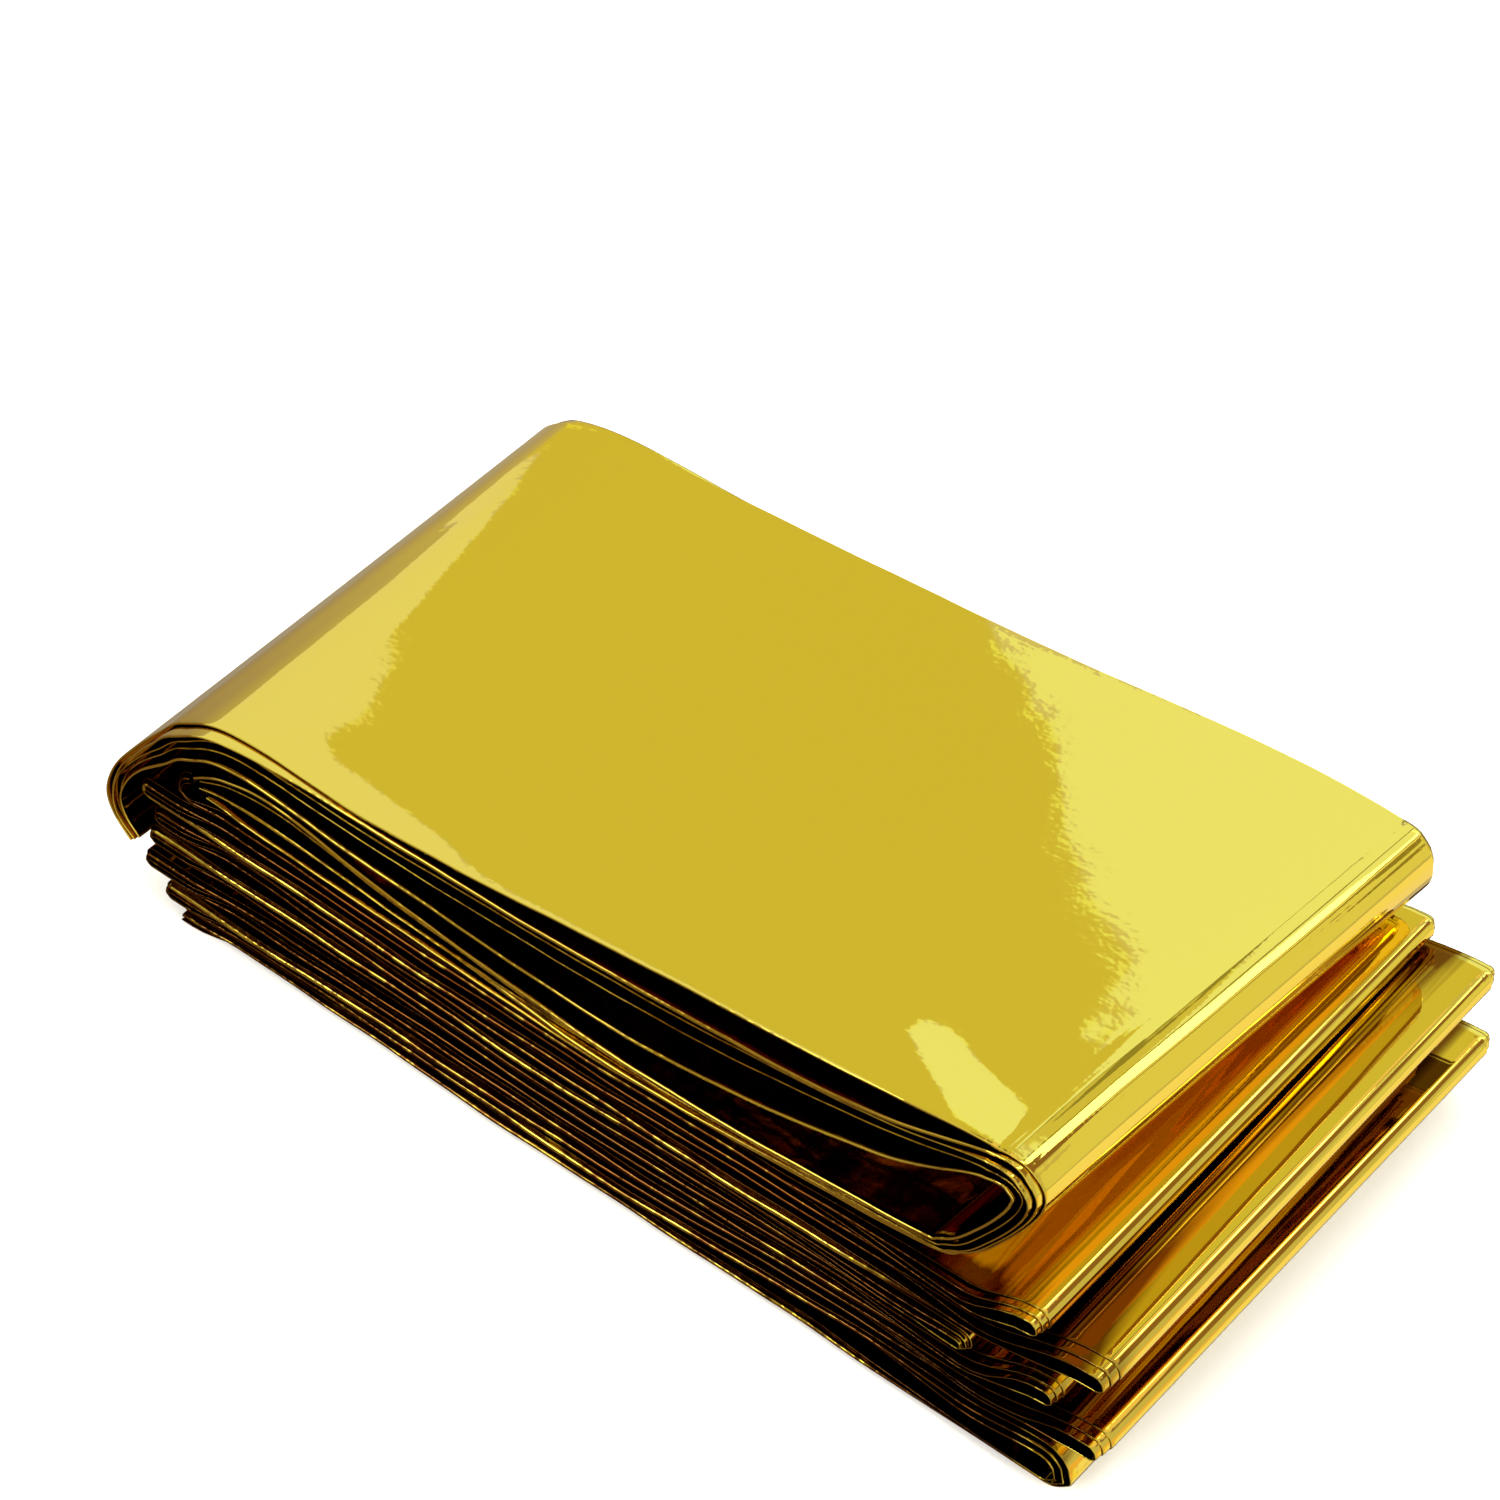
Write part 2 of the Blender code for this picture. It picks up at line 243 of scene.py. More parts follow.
# Shade on the inner face of the upper strip.
HOLLOW_SHADE = 0.62         # in the hollow under the top run
HOLLOW_FADE = 15.0          # length over which it starts and ends
EYE_SHADE = 1.3             # in the eye of the big fold
EYE_MIDDLE = 12.0           # past the lip
EYE_FADE = 14.0
EYE_LEVEL = 1.2             # over 1, so that the middle is even
LAP_SHADE = 1.6             # behind the lap
LAP_FADE = 8.0
INNER_EDGE = 2.0            # width from the near edge over which all of it starts

# Near ridges of a lower run: the bold strand in the middle and a thin ridge on each side.
LOWER_RIDGE_TABLE = (
    # depth, wander, set-back, set-back at a right fold, at a left fold, share of its film there
    (0.12, 0.04, 0.5, 2.7, 0.3, 0.15),
    (0.62, 0.08, 0.0, 1.3, 0.5, 0.55),
    (1.20, 0.04, 0.7, 0.1, 1.2, 1.0),
)
LOWER_RIDGES = len(LOWER_RIDGE_TABLE)
BOLD = 1                    # the bold strand's place in that table
BOLD_HEIGHT = (0.42, 0.4)   # of the strand where it is faint, and what it gains where bold
BOLD_RADIUS = (0.08, 0.36)
BOLD_SHADE = (0.45, 0.8)    # where it is bold, and what it gains where faint
LEFT_GAIN = 0.3             # share by which it grows at a left fold
THIN_HEIGHT = 0.12          # of a thin ridge
THIN_RADIUS = 0.05
THIN_SHADE = (1.05, 0.2)    # in the mean, and how far it varies
NOSE_HEIGHT = 0.2           # of every ridge at a right fold
NOSE_RADIUS = 0.08
FAINT_BACK = 1.1            # what the set-back gains where the strand is faint
LOOSE_BACK = 0.25           # and by its wandering
LEFT_START = -54.0          # x where the ridges start to change for a left fold
LEFT_LENGTH = 8.0           # and over what length they do
NOSE_START = 38.0           # the same before the tip of a right fold
NOSE_LENGTH = 30.0
EYE_START = 2.0             # where the film starts to part, before the hollow in that fold
EYE_SHARE = 0.7             # of the hollow's length over which it parts
LIT_START = 12.0            # where the ridges come out of their shade, before the tip
LIT_LENGTH = 8.0
TOP_SHADE_START = 11.0      # where the shade on top of a right fold starts, before its tip
TOP_SHADE_END = 1.5         # and where it ends
TOP_SHADE_FADE = 4.0        # length over which it does so
FLAME_SHADE = 0.55          # painted shade, in flame-like streaks on the film beside the right folds
FLAME_START = 40.0          # x where it starts
FLAME_LENGTH = 12.0         # and over what length
FLAME_WIDTH = 9.0           # how far in from the near edge it goes

# How boldly each lower run's strand stands out, from 0 to 1: at the left, in the
# middle and towards the right folds. A faint strand also gets more painted shade.
STRANDS = (
    # run,    left, middle, right
    ("run 3", 0.2, 0.7, 0.3),
    ("run 4", 0.1, 0.2, 0.4),
    ("run 5", 1.0, 0.5, 0.1),
    ("run 6", 0.2, 0.5, 1.0),
    ("run 7", 0.1, 0.8, 0.2),
    ("run 8", 1.0, 0.3, 0.5),
    ("run 9", 0.2, 0.4, 0.3),
    ("run 10", 0.4, 0.1, 0.6),
    ("run 11", 0.1, 0.5, 0.3),
    ("run 12", 1.0, 0.6, 0.1),
    ("run 13", 0.3, 0.9, 0.5),
    ("run 14", 0.5, 0.7, 0.8),
)
STRAND_X = (-52.0, -6.0, 40.0)   # places of those three columns

# Columns of film, in millimetres from the near tip of a ridge.
OUTER_COLUMNS = (0.0, 0.012, 0.04, 0.09, 0.16, 0.26, 0.42, 0.7, 1.2, 2.0, 3.2, 4.8, 6.8, 9.2,
                 12.0, 15.5, 20.0, 26.0, 33.0, 42.0, 52.0, 62.0, 70.0, 75.0, 77.0, 77.7, 78.0)
INNER_COLUMNS = (0.0, 0.012, 0.04, 0.09, 0.16, 0.26, 0.42, 0.7, 1.2, 2.2, 4.5, 9.0, 18.0, 34.0,
                 60.0, 75.0, 77.2, 77.8, 78.0)

# --------------------------------------------------------------- finish of the film
# Depth of its fine crinkles, of its long streaks and of its crushed edges, in millimetres.
LOOSE_FINISH = (0.006, 0.0, 0.05)
PRESSED_FINISH = (0.001, 0.08, 0.07)
DENT_DEPTH = 0.03           # and of the wide dents that it has everywhere

# Noises: scale, detail and distortion.
DENT_NOISE = (120.0, 1.0, 0.0)
GRAIN_NOISE = (800.0, 1.0, 0.0)
FLAME_NOISE = (420.0, 2.0, 0.8)
STREAK_NOISE = (240.0, 1.0, 0.4)
CRUSH_NOISE = (750.0, 1.0, 0.0)
STREAK_SCALE = (1.0, 0.04, 0.25)  # draws flames and streaks out along Y, and less along Z
STREAK_TURN = 6.0           # degrees between them and Y

# Painted shade: the flames' noise times its share, and the film's shade attribute, add up to how
# brown the film is painted.
FLAME_SHARE = 1.2
BROWN_RANGE = (0.82, 2.8)   # sums that are the start and the end of the colours below
BROWN_STOPS = ((0.12, "gold"), (0.3, "brown"), (0.62, "brown"), (0.9, "deep"))
GLOSS_RANGE = (0.3, 0.1)    # places in those colours where the gloss is gone, and is full, so painted shade has no gloss
COAT_ROUGHNESS = 0.03
COAT_IOR = 1.55             # of the clear dyed film over the metal

# --------------------------------------------------------------- camera and light
CAMERA_PLACE = (192.5, -238.8, 333.1)
CAMERA_AZIMUTH = 39.6       # degrees from the near side towards +X
CAMERA_ELEVATION = 43.7
CAMERA_LENS = 89.0
CAMERA_SENSOR = 36.0
CAMERA_CLIP = 0.01          # metres
BOUNCES = 14                # the film mirrors itself many times in its gaps
FLOOR_HALF = 4.0            # half the floor's width, in metres
FLOOR_DROP = 0.0002         # how far it lies under the packet, so that their faces don't meet
FLOOR_ROUGHNESS = 0.9
ROOM = (0.67, 0.63, 0.46)   # radiance of the room round the packet
DIM_ROOM = (0.21, 0.135, 0.08)   # and of its dim warm part, low in front at the left
DIM_DIRECTION = (-0.507, -0.771, -0.385)
DIM_RANGE = (-0.15, 0.45)   # cosines to that direction where the dim part starts and is full

FILL_LIGHTS = (
    # name, place in metres, size, watts
    ("softbox_overhead", (0.2, 0.4, 1.6), 1.8, 26.0),
    ("softbox_front", (-0.5, -1.4, 1.0), 1.6, 40.0),
    ("softbox_right", (1.4, -0.1, 0.9), 1.2, 22.0),
)

# The two borders between the tones that the top run mirrors, from low to high. Places of
# these and of the cards are azimuth and elevation seen from the packet, in degrees, with
# azimuth 0 at +Y and 90 at +X.
LEFT_BORDER = ((-55.3, 8.8), (-53.0, 18.0), (-50.6, 24.9), (-48.9, 29.2), (-47.6, 31.0),
               (-45.6, 33.5), (-44.6, 36.0))
RIGHT_BORDER = ((-32.5, 25.4), (-31.8, 27.4), (-29.8, 29.6), (-25.6, 33.2), (-22.0, 37.4),
                (-16.0, 41.5))

# Lit cards and dim flags round the packet. The first three are mirrored in the top run, those
# whose names start with fold in the big fold, and the low ones in film that faces down.
CARDS = (
    # name, radiance, distance in metres, corners
    ("wall_card", (0.73, 0.69, 0.24), 1.6,
     ((-56.0, 6.0), (-32.5, 6.0), *RIGHT_BORDER, (-16.0, 55.0), (-44.6, 55.0),
      *LEFT_BORDER[::-1])),
    ("right_card", (0.98, 1.12, 1.1), 1.6,
     ((-32.5, 4.0), (30.0, 4.0), (30.0, 44.0), (-16.0, 44.0), *RIGHT_BORDER[::-1])),
    ("left_card", (0.92, 0.95, 0.9), 1.6,
     ((-85.0, 6.0), (-56.0, 6.0), *LEFT_BORDER, (-44.6, 50.0), (-85.0, 60.0))),
    ("high_card", (1.0, 0.78, 0.5), 1.6,
     ((-14.0, 46.0), (50.0, 40.0), (50.0, 62.0), (-14.0, 62.0))),
    ("overhead_card", (3.4, 3.4, 3.3), 1.5,
     ((-134.0, 47.0), (-80.0, 55.0), (-80.0, 66.0), (-134.0, 60.0))),
    ("strip_light", (3.8, 3.8, 3.8), 1.4,
     ((13.0, 49.0), (28.0, 46.0), (28.0, 54.0), (13.0, 60.0))),
    ("fold_flag_first", (0.34, 0.32, 0.13), 1.5,
     ((-7.0, 34.0), (-4.5, 34.0), (-4.5, 45.5), (-7.0, 45.5))),
    ("fold_card_yellow", (0.74, 0.72, 0.34), 1.5,
     ((-4.5, 34.0), (10.0, 33.0), (10.0, 45.0), (-4.5, 45.5))),
    ("fold_flag_second", (0.30, 0.27, 0.10), 1.45,
     ((10.0, 31.0), (13.5, 30.0), (13.5, 45.0), (10.0, 45.0))),
    ("fold_card_white", (3.0, 3.0, 2.9), 1.5,
     ((13.5, 28.0), (31.0, 18.0), (31.0, 42.0), (13.5, 45.0))),
    ("fold_flag_third", (0.30, 0.26, 0.10), 1.45,
     ((31.0, 16.0), (33.5, 13.0), (33.5, 41.0), (31.0, 42.0))),
    ("fold_card_pale", (1.05, 1.0, 0.7), 1.5,
     ((33.5, 13.0), (37.5, 8.0), (37.5, 38.0), (33.5, 41.0))),
    ("fold_flag_fourth", (0.34, 0.28, 0.10), 1.45,
     ((37.5, 8.0), (40.0, 6.0), (40.0, 30.0), (37.5, 30.0))),
    ("fold_card_gold", (0.85, 0.84, 0.48), 1.5,
     ((40.0, 30.0), (40.0, 6.0), (45.0, -6.0), (56.0, -6.0), (52.0, 12.0))),
    ("thin_flag_left", (0.25, 0.22, 0.1), 1.3,
     ((-20.0, 49.0), (-14.0, 49.0), (-14.0, 62.0), (-20.0, 62.0))),
    ("thin_flag_right", (0.25, 0.22, 0.1), 1.3,
     ((8.0, 48.0), (12.5, 48.0), (12.5, 62.0), (8.0, 62.0))),
    ("front_right_card", (1.3, 1.25, 1.0), 1.6,
     ((112.0, 8.0), (152.0, 6.0), (146.0, 26.0), (136.0, 34.0), (126.0, 50.0), (112.0, 36.0))),
    ("front_left_card", (0.72, 0.69, 0.48), 1.6,
     ((-138.0, 6.0), (-96.0, 6.0), (-96.0, 38.0), (-126.0, 43.0), (-138.0, 37.0))),
    ("zenith_card", (1.1, 1.05, 0.85), 1.9,
     ((-70.0, 74.0), (10.0, 66.0), (80.0, 70.0), (150.0, 62.0), (-150.0, 76.0))),
    ("upper_flag", (0.30, 0.17, 0.09), 1.3,
     ((31.0, 38.0), (40.0, 28.0), (54.0, 22.0), (60.0, 28.0), (46.0, 43.0), (36.0, 50.0))),
    ("low_right_card", (1.1, 1.0, 0.7), 1.3,
     ((26.0, -56.0), (56.0, -56.0), (56.0, -12.0), (26.0, -12.0))),
    ("low_amber_card", (1.0, 0.62, 0.25), 1.3,
     ((56.0, -40.0), (70.0, -36.0), (70.0, -8.0), (56.0, -12.0))),
    ("low_far_flag", (0.10, 0.062, 0.04), 1.3,
     ((-50.0, -65.0), (10.0, -65.0), (10.0, -8.0), (-50.0, -8.0))),
)


# --------------------------------------------------------------------- helpers
def blend(near, far, share):
    """Value between two others, by the share of the way from near to far."""
    return near + (far - near) * share


def ease(t):
    """Smooth step from 0 to 1, for numbers and arrays."""
    t = np.clip(t, 0.0, 1.0)
    return t * t * (3.0 - 2.0 * t)


def linear_colour(hex_code):
    """sRGB hex code to a linear colour with alpha."""
    channels = [int(hex_code[i:i + 2], 16) / 255.0 for i in (1, 3, 5)]
    linear = [c / 12.92 if c <= 0.04045 else ((c + 0.055) / 1.055) ** 2.4 for c in channels]
    return (*linear, 1.0)


def step_lengths(line):
    """Length of each step of a line of points."""
    return np.linalg.norm(np.diff(line, axis=0), axis=1)


def distances(line):
    """Distance along a line of points to each of them."""
    return np.concatenate([[0.0], np.cumsum(step_lengths(line))])


def spline_point(p0, p1, p2, p3, t):
    """Catmull-Rom point between p1 and p2."""
    return 0.5 * (2.0 * p1 + (p2 - p0) * t + (2.0 * p0 - 5.0 * p1 + 4.0 * p2 - p3) * t * t
                  + (3.0 * p1 - p0 - 3.0 * p2 + p3) * t ** 3)


# ------------------------------------------------------------------ centre line
def upper_rows(share):
    """Table rows of the upper strip as numbers: x, z, thickness, depths, set-backs."""
    rows = []
    crown = CROWN * math.sin(math.pi * share)
    for _, near_x, near_z, far_x, far_z, thickness, depths, backs in UPPER_LINE:
        lifted = crown * float(ease((near_z - CROWN_FOOT) / CROWN_CLIMB))
        rows.append(np.array([blend(near_x, far_x, share), blend(near_z, far_z, share) + lifted,
                              thickness, *depths, *backs]))
    return rows


def upper_line(share, step):
    """Points of the upper strip, one array row each: x, z, thickness, depths, set-backs."""
    rows = upper_rows(share)
    line = []
    for i in range(len(rows) - 1):
        before = rows[max(i - 1, 0)]
        after = rows[min(i + 2, len(rows) - 1)]
        length = math.dist(UPPER_LINE[i][1:3], UPPER_LINE[i + 1][1:3])
        facet = FINE_STEP if UPPER_LINE[i][0] in FINE_ROWS else step
        count = max(LEAST_FACETS, round(length / facet))
        for k in range(count):
            line.append(spline_point(before, rows[i], rows[i + 1], after, k / count))
    line.append(rows[-1])
    return np.array(line)


def run_height(row, x, lift, nose_x):
    """Height of a lower run's centre line at x."""
    _, left, middle, right = row
    if x <= 0.0:
        return blend(middle, left, float(ease(x / LEFT_X)))
    height = blend(middle, right, float(ease(x / SHOULDER_X)))
    if lift and x > SHOULDER_X:
        height += lift * float(ease((x - SHOULDER_X) / (nose_x - SHOULDER_X)))
    return height


def half_turn(x, top_z, low_z, side):
    """Centre line round a fold, pressed into flat facets with the creases of NOSE_FACETS."""
    radius = (top_z - low_z) / 2
    points = []
    for k in range(1, NOSE_POINTS):
        angle = 180.0 * (0.5 - k / NOSE_POINTS)
        reach = min(1.0 / math.cos(math.radians(angle - facet)) for facet in NOSE_FACETS
                    if abs(angle - facet) < FACET_SPAN)
        angle = math.radians(angle)
        points.append((x + side * radius * reach * math.cos(angle),
                       low_z + radius * (1.0 + math.sin(angle))))
    return points


def run_points(row, x_from, x_to, lift, nose_x, count):
    """Points of a lower run's centre line between two folds."""
    xs = [blend(x_from, x_to, k / count) for k in range(count + 1)]
    return [(x, run_height(row, x, lift, nose_x)) for x in xs]


def left_fold(index, share, top_z, low_z):
    """Centre of a left fold: its outermost point less half its own height."""
    _, near_x, far_x = LEFT_FOLDS[index]
    return blend(near_x, far_x, share) + (LOWER_THICKNESS + top_z - low_z) / 2


def lower_line(share, left_z, step):
    """Points of the strip below the second run: x, z and the number of the run, from 0 for run 3.

    A fold's number is half-way between those of its two runs.
    """
    line = []
    pairs = len(LOWER_RUNS) // 2
    count = round((SHOULDER_X - LEFT_X + RUN_OVERHANG) / step)
    for i in range(pairs):
        over, under = LOWER_RUNS[2 * i], LOWER_RUNS[2 * i + 1]
        is_last = i == pairs - 1
        _, near_x, far_x, near_lift, far_lift = RIGHT_FOLDS[i][:5]
        lift = blend(near_lift, far_lift, share)
        under_lift = 0.0 if is_last else lift
        height = over[3] + lift - under[3] - under_lift
        nose_x = blend(near_x, far_x, share) - (LOWER_THICKNESS + height) / 2
        start_x = left_fold(i, share, left_z, over[1])
        if is_last:
            end_x = LAST_RUN_END
        else:
            end_x = left_fold(i + 1, share, under[1], LOWER_RUNS[2 * i + 2][1])
        for points, run in (
            (half_turn(start_x, left_z, over[1], -1.0), 2 * i - 0.5),
            (run_points(over, start_x, nose_x, lift, nose_x, count), 2.0 * i),
            (half_turn(nose_x, over[3] + lift, under[3] + under_lift, 1.0), 2 * i + 0.5),
            (run_points(under, nose_x, end_x, under_lift, nose_x, count), 2 * i + 1.0),
        ):
            line += [(x, z, run) for x, z in points]
        left_z = under[1]
    return np.array(line)


# ------------------------------------------------------------------ film layers
def smooth_wave(u, kind, number=0):
    """Gentle irregular wave of about unit height along u, one of a kind in WAVES."""
    seed, length = WAVES[kind]
    by_seed, by_part, scatter = WAVE_SCATTER
    total = 0.0
    for k, (share, stretch) in enumerate(WAVE_PARTS):
        phase = math.sin((seed + number) * by_seed + k * by_part) * scatter
        total = total + share * np.sin(2.0 * math.pi * (u / (length * stretch) + phase))
    return total


def ridge_rise(t, height, radius):
    """Half the distance between the two layers of a ridge, t inwards from its tip."""
    half = height / 2
    return half * (1.0 - np.exp(-np.sqrt(2.0 * radius * t) / half))


def layer_path(layers, outer, inner):
    """Columns of the film through its layers: layer, and distance from that layer's near tip."""
    columns = []
    for layer in range(layers):
        ts = outer if layer in (0, layers - 1) else inner
        ts = ts[::-1] if layer % 2 == 0 else ts
        if layer:
            ts = ts[1:]
        columns += [(layer, t) for t in ts]
    return columns


def soft_forms(x, y):
    """Height of the soft forms of the top run's film at x and y."""
    height = np.zeros_like(x)
    for _, form_x, form_y, angle, length, width, rise in TOP_FORMS:
        c, s = math.cos(math.radians(angle)), math.sin(math.radians(angle))
        along = ((x - form_x) * c + (y - form_y) * s) / length
        across = ((y - form_y) * c - (x - form_x) * s) / width
        height += rise * across * np.exp(0.5 - 0.5 * across ** 2 - along ** 4)
    return height


def lip_creases(past_lip, y):
    """Depth of the fine creases at each row's place past the lip, and each point's y."""
    drift = CREASE_DRIFT * smooth_wave(y, "crease place")
    depth = np.zeros_like(y)
    for k, (place, width, deep) in enumerate(LIP_CREASES):
        strength = deep * (1.0 + CREASE_CHANGE * smooth_wave(y, "crease depth", k))
        depth += strength * np.exp(-((past_lip - place - drift) / width) ** 2)
    return depth


def film_column(layer, t, thickness, depths, backs, heights, radii):
    """One column of the film, t from the near tip of its layer, with a value for each row.

    Returns its y, its depth under the outer face and its distance from the nearer tip.
    """
    ridges = depths.shape[1]
    layers = 2 * ridges
    half = STRIP_WIDTH / 2
    pitch = thickness * FILL / (layers - 1)
    ridge = layer // 2
    sign = 1.0 if layer % 2 else -1.0
    near_tip = -half + backs[:, ridge]
    far_ridge = min((layer + 1) // 2, ridges - 1)
    far_tip = half - FAR_SHARE * backs[:, far_ridge]
    width = far_tip - near_tip
    inward = np.where(t < half, t, width - (STRIP_WIDTH - t))
    level = thickness * (1.0 - FILL) / 2 + layer * pitch
    near_depth = depths[:, ridge] + sign * ridge_rise(inward, heights[:, ridge], radii[:, ridge])
    free = layer in (0, layers - 1)
    squeeze = 0.0 if free else pitch / 2 - ridge_rise(width - inward, pitch, THIN_RADIUS)
    depth = blend(near_depth, level + sign * squeeze, ease(inward / SPREAD))
    return near_tip + inward, depth, np.minimum(inward, width - inward)


def beside(centre, offset):
    """x and z of the points beside a centre line, each by its offset to the inner side."""
    along = np.gradient(centre, axis=0)
    along /= np.linalg.norm(along, axis=1)[:, None]
    return centre[:, 0] + along[:, 1] * offset, centre[:, 1] - along[:, 0] * offset


def film_points(near, far, thickness, ridges, columns, past_lip=None):
    """Points of the film, in rows along the strip and columns through its layers.

    near, far: centre lines at the two edges. ridges: for each row, the near ridges' depths
    under the outer face, set-backs from the edge, heights, radii, and how far they are in
    shade. past_lip: how far each row is past the lip of the big fold, where there is one.
    Returns the points, how crinkled the film is there, and how far it is in shade.
    """
    *forms, shades = ridges
    points = np.zeros((len(near), len(columns), 3))
    crinkle = np.zeros(points.shape[:2])
    shade = np.zeros(points.shape[:2])
    for j, (layer, t) in enumerate(columns):
        y, depth, edge = film_column(layer, t, thickness, *forms)
        crinkle[:, j] = np.exp(-edge / CRINKLE_WIDTH)
        shade[:, j] = shades[:, layer // 2] * np.exp(-(edge / SHADE_WIDTH) ** 2)
        if past_lip is not None:
            depth += lip_creases(past_lip, y)
        centre = blend(near, far, ((y + STRIP_WIDTH / 2) / STRIP_WIDTH)[:, None])
        x, z = beside(centre, depth - thickness / 2)
        if past_lip is not None:
            on_top = ease((centre[:, 1] - FORMS_FOOT) / FORMS_CLIMB) * ease(-FORMS_END - past_lip)
            z += on_top * soft_forms(x, y)
        points[:, j] = np.stack([x, y, z], axis=1)
    return points, crinkle, shade


def add_object(name, data):
    """Object with this data, in the scene."""
    item = bpy.data.objects.new(name, data)
    bpy.context.scene.collection.objects.link(item)
    return item


def grid_mesh(name, points, crinkle, shade):
    """Mesh of a grid of points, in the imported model's frame, with its crinkle and shade."""
    rows, columns = points.shape[:2]
    flat = points.reshape(-1, 3).copy()
    flat[:, 0] -= CENTRE_SHIFT
    flat *= MM
    index = np.arange(rows * columns).reshape(rows, columns)
    quads = np.stack([index[:-1, :-1], index[:-1, 1:], index[1:, 1:], index[1:, :-1]], axis=-1)
    mesh = bpy.data.meshes.new(name)
    mesh.from_pydata(flat.tolist(), [], quads.reshape(-1, 4).tolist())
    mesh.shade_smooth()
    for key, values in (("crinkle", crinkle), ("shade", shade)):
        attribute = mesh.attributes.new(key, "FLOAT", "POINT")
        attribute.data.foreach_set("value", values.astype(np.float32).ravel())
    return add_object(name, mesh)


# ------------------------------------------------------------------- materials
def set_inputs(tree, node, inputs):
    """Give a node's inputs their values or links."""
    for key, value in inputs.items():
        if isinstance(value, bpy.types.NodeSocket):
            tree.links.new(value, node.inputs[key])
        else:
            node.inputs[key].default_value = value


def add_node(tree, kind, settings=None, inputs=None):
    """Add a node, with settings on it, and values or links for its inputs."""
    node = tree.nodes.new(kind)
    for key, value in (settings or {}).items():
        setattr(node, key, value)
    set_inputs(tree, node, inputs or {})
    return node


def add_material(name):
    """Material with its node tree and that tree's shader."""
    material = bpy.data.materials.new(name)
    material.use_nodes = True
    return material, material.node_tree, material.node_tree.nodes["Principled BSDF"]


def noise(tree, place, scale, detail, distortion):
    """Height of a noise at a place."""
    node = add_node(tree, "ShaderNodeTexNoise", None,
                    {"Vector": place, "Scale": scale, "Detail": detail, "Distortion": distortion})
    return node.outputs["Fac"]


def bump(tree, height, depth, normal=None):
    """Normal of a bump, its depth in millimetres, on top of the normal that there is."""
    inputs = {"Height": height, "Strength": 1.0, "Distance": depth * MM}
    if normal is not None:
        inputs["Normal"] = normal
    return add_node(tree, "ShaderNodeBump", None, inputs).outputs["Normal"]


def film_colour(tree, stretched):
    """Colour of the film with its painted shade, by the shade attribute and flame-like patches, and
    how brown that is.
    """
    look = bpy.context.scene.foil_look
    shade = add_node(tree, "ShaderNodeAttribute", {"attribute_name": "shade"})
    patchy = add_node(tree, "ShaderNodeMath", {"operation": "MULTIPLY_ADD"},
                      {0: noise(tree, stretched, *FLAME_NOISE), 1: FLAME_SHARE,
                       2: shade.outputs["Fac"]})
    level = add_node(tree, "ShaderNodeMapRange", None,
                     {"Value": patchy.outputs["Value"], "From Min": BROWN_RANGE[0],
                      "From Max": BROWN_RANGE[1]})
    ramp = add_node(tree, "ShaderNodeValToRGB", None, {"Fac": level.outputs["Result"]})
    stops = ramp.color_ramp.elements
    for place, name in BROWN_STOPS:
        stops.new(place).color = linear_colour(getattr(look, name))
    stops.remove(stops[0])
    stops.remove(stops[-1])
    return ramp.outputs["Color"], level.outputs["Result"]


def film_relief(tree, place, stretched, grain, streak, crumple):
    """Normal of the film's wide dents, fine crinkles, long streaks and crushed edges."""
    normal = bump(tree, noise(tree, place, *DENT_NOISE), DENT_DEPTH)
    normal = bump(tree, noise(tree, place, *GRAIN_NOISE), grain, normal)
    if streak:
        normal = bump(tree, noise(tree, stretched, *STREAK_NOISE), streak, normal)
    edge = add_node(tree, "ShaderNodeAttribute", {"attribute_name": "crinkle"})
    crushed = add_node(tree, "ShaderNodeMath", {"operation": "MULTIPLY"},
                       {0: noise(tree, place, *CRUSH_NOISE), 1: edge.outputs["Fac"]})
    return bump(tree, crushed.outputs["Value"], crumple, normal)


def gold_film(name, grain, streak, crumple):
    """Metallised polyester film, gold-dyed and vacuum coated.

    A mirror-bright metal coat under clear dyed film: deep yellow-gold that turns orange
    and brown where it reflects itself. Painted shade: a dark red-brown, and a deep brown
    in the folds, painted on in flame-like patches by the mesh's shade attribute where the
    film's own layers shade it, with the clear gloss taken off there. The dye colours
    slanting light too. A clear gloss on top. grain, streak and crumple: depth of the fine
    crinkles, of the long streaks and of the crushed edges, in millimetres.
    """
    material, tree, shader = add_material(name)
    place = add_node(tree, "ShaderNodeTexCoord").outputs["Object"]
    stretched = add_node(tree, "ShaderNodeMapping", None,
                         {"Vector": place, "Scale": STREAK_SCALE,
                          "Rotation": (0.0, 0.0, math.radians(STREAK_TURN))}).outputs["Vector"]
    colour, brown = film_colour(tree, stretched)
    gloss = add_node(tree, "ShaderNodeMapRange", None,
                     {"Value": brown, "From Min": GLOSS_RANGE[0], "From Max": GLOSS_RANGE[1]})
    set_inputs(tree, shader, {
        "Metallic": 1.0,
        "Roughness": bpy.context.scene.foil_look.roughness,
        "Base Color": colour,
        "Specular Tint": colour,
        "Coat Weight": gloss.outputs["Result"],
        "Coat Roughness": COAT_ROUGHNESS,
        "Coat IOR": COAT_IOR,
        "Normal": film_relief(tree, place, stretched, grain, streak, crumple),
    })
    return material


# ---------------------------------------------------------------------- pieces
def finish_piece(piece, material):
    """Give a film piece its finish, put it on the body that it rides on, and hide the model's part
    that it replaces.
    """
    piece.data.materials.append(material)
    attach(piece, BODY)
    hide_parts(NODE)


